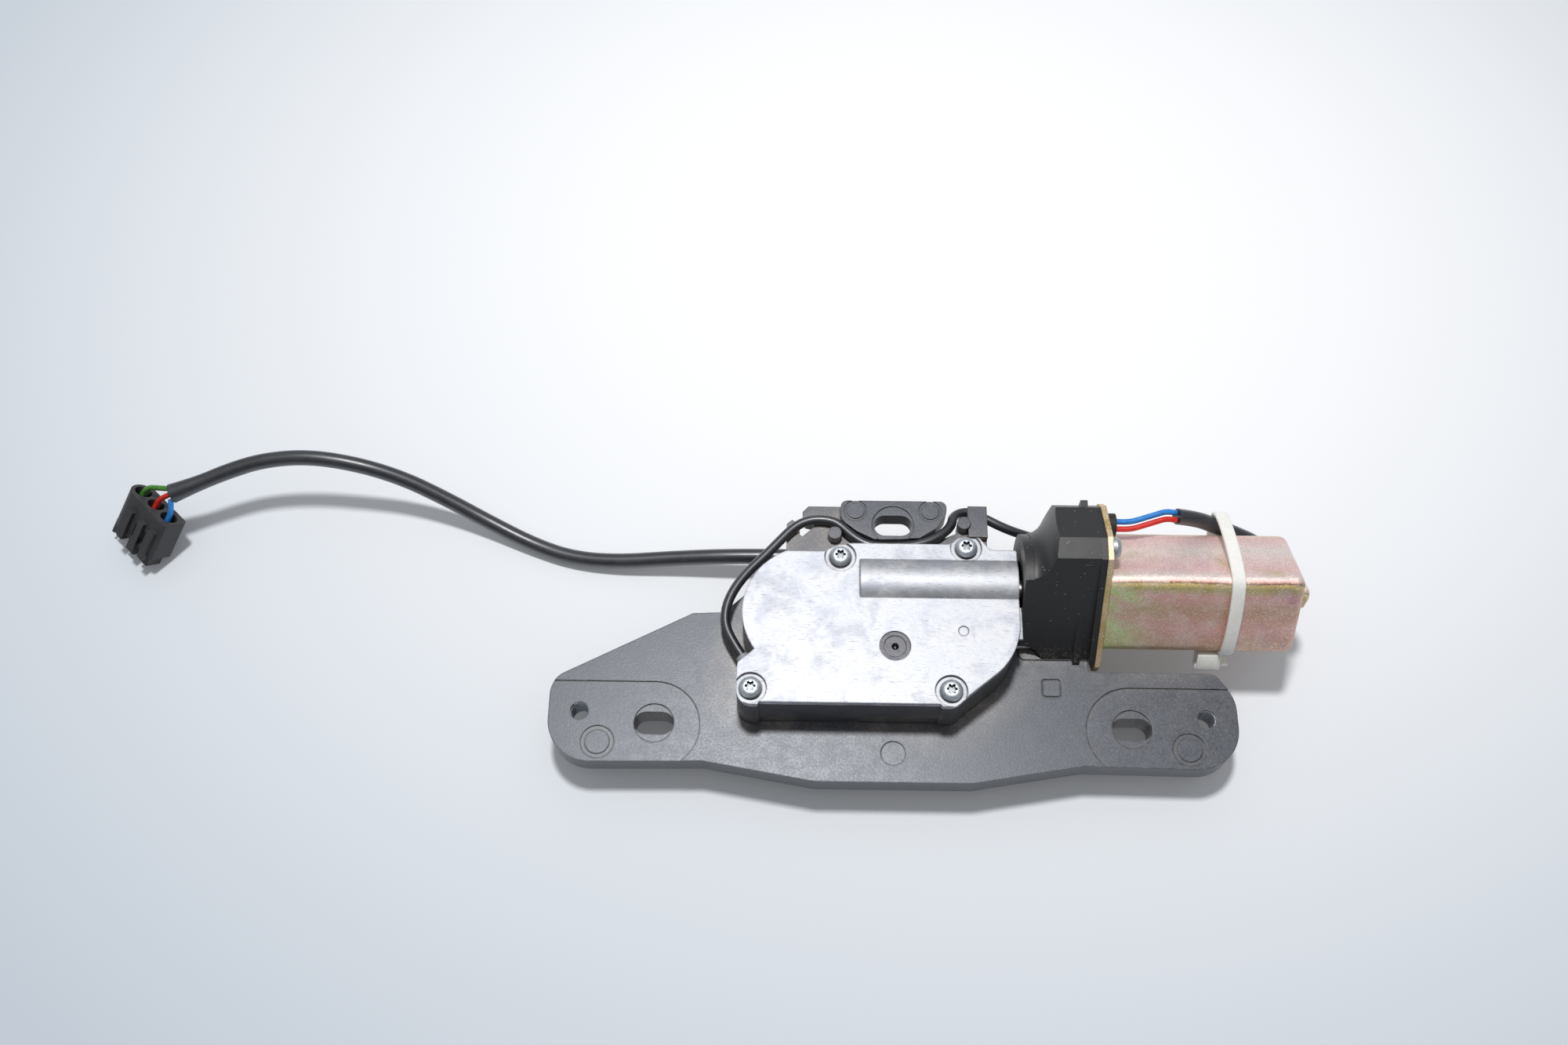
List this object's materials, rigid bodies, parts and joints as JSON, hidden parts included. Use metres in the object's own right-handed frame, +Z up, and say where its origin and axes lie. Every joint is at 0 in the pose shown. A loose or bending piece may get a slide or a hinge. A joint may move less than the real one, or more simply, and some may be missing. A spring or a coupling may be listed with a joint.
{
  "type": "tailgate lock",
  "caption": "Powered tailgate striker lock: cast mounting plate with worm gear box, square-cased motor, sliding striker bow and a sleeved lead with a plug.",
  "frame": {"origin": "midway between the two wing slots, on the face of the wing pads that bolts to the body", "axes": "+X along the two wings towards the motor, +Y towards the rear tab, +Z up through the gear cover"},
  "size_m": [0.4599, 0.1269, 0.0644],
  "materials": {
    "cast_black": "satin",
    "cover_silver": "satin",
    "zinc_steel": "satin",
    "bare_steel": "satin",
    "dark_steel": "satin",
    "sintered_bronze": "matte",
    "gasket_black": "matte",
    "can_chromate": "satin",
    "flange_chromate": "satin",
    "plastic_black": "gloss",
    "plastic_matte": "matte",
    "sleeve_black": "satin",
    "nylon_natural": "satin",
    "nylon_gear": "satin",
    "copper_wire": "gloss",
    "ferrite": "matte",
    "wire_red": "satin",
    "wire_blue": "satin",
    "wire_green": "satin",
    "clip_grey": "satin"
  },
  "bodies": {
    "root": {"base_casting": "cast_black", "gear_cover": "cover_silver", "cover_gasket": "gasket_black", "cover_screws": "zinc_steel", "wheel_lower_bush": "sintered_bronze", "wheel_upper_bush": "dark_steel", "crank_lower_bush": "sintered_bronze", "crank_upper_bush": "sintered_bronze", "worm_inner_bush": "sintered_bronze", "worm_outer_bush": "sintered_bronze", "slide_strips": "zinc_steel", "strip_screws": "zinc_steel", "motor_flange": "flange_chromate", "flange_screws": "zinc_steel", "motor_adaptor": "plastic_black", "motor_can": "can_chromate", "motor_magnets": "ferrite", "motor_brushes": "ferrite", "motor_front_bearing": "sintered_bronze", "motor_end_bearing": "sintered_bronze", "harness_sleeve": "sleeve_black", "lead_sleeve": "sleeve_black", "switch_cable": "sleeve_black", "motor_wire_blue": "wire_blue", "motor_wire_red": "wire_red", "wire_grommet": "gasket_black", "cable_tie": "nylon_natural", "limit_switch": "plastic_matte", "cable_clip": "clip_grey", "plug_housing": "plastic_matte", "plug_terminals": "zinc_steel", "lead_wire_green": "wire_green", "lead_wire_red": "wire_red", "lead_wire_blue": "wire_blue"},
    "crank": {"output_gear": "bare_steel", "crank_shaft": "bare_steel", "crank_roller": "sintered_bronze"},
    "wheel": {"worm_wheel": "nylon_gear", "drive_pinion": "bare_steel", "wheel_shaft": "dark_steel"},
    "slide": {"striker_slide": "zinc_steel", "striker_bow": "zinc_steel"},
    "armature": {"worm_shaft": "bare_steel", "shaft_coupling": "plastic_matte", "motor_shaft": "bare_steel", "armature_core": "bare_steel", "armature_windings": "copper_wire", "commutator": "copper_wire"}
  },
  "joints": [
    {"name": "motor_spin", "type": "hinge", "parent": "root", "child": "armature", "pos_m": [0, 0.049, 0.0235], "axis": [-1, 0, 0], "range_deg": [0, 4704]},
    {"name": "wheel_spin", "type": "hinge", "parent": "root", "child": "wheel", "pos_m": [0, 0.0229, 0.0235], "axis": [0, 0, 1], "range_deg": [-168.2, 0.2]},
    {"name": "crank_turn", "type": "hinge", "parent": "root", "child": "crank", "pos_m": [-0.02947, 0.036, 0.015], "axis": [0, 0, 1], "range_deg": [-0.1, 90.1]},
    {"name": "striker_travel", "type": "slide", "parent": "root", "child": "slide", "axis": [0, 1, 0], "range_m": [-0.00001, 0.00708]}
  ],
  "couplings": [
    {"joint": "wheel_spin", "follows": "motor_spin", "ratio": -0.035714},
    {"joint": "crank_turn", "follows": "motor_spin", "ratio": 0.019133},
    {"joint": "striker_travel", "follows": "motor_spin", "m_per_rad": 0.000086127}
  ]
}
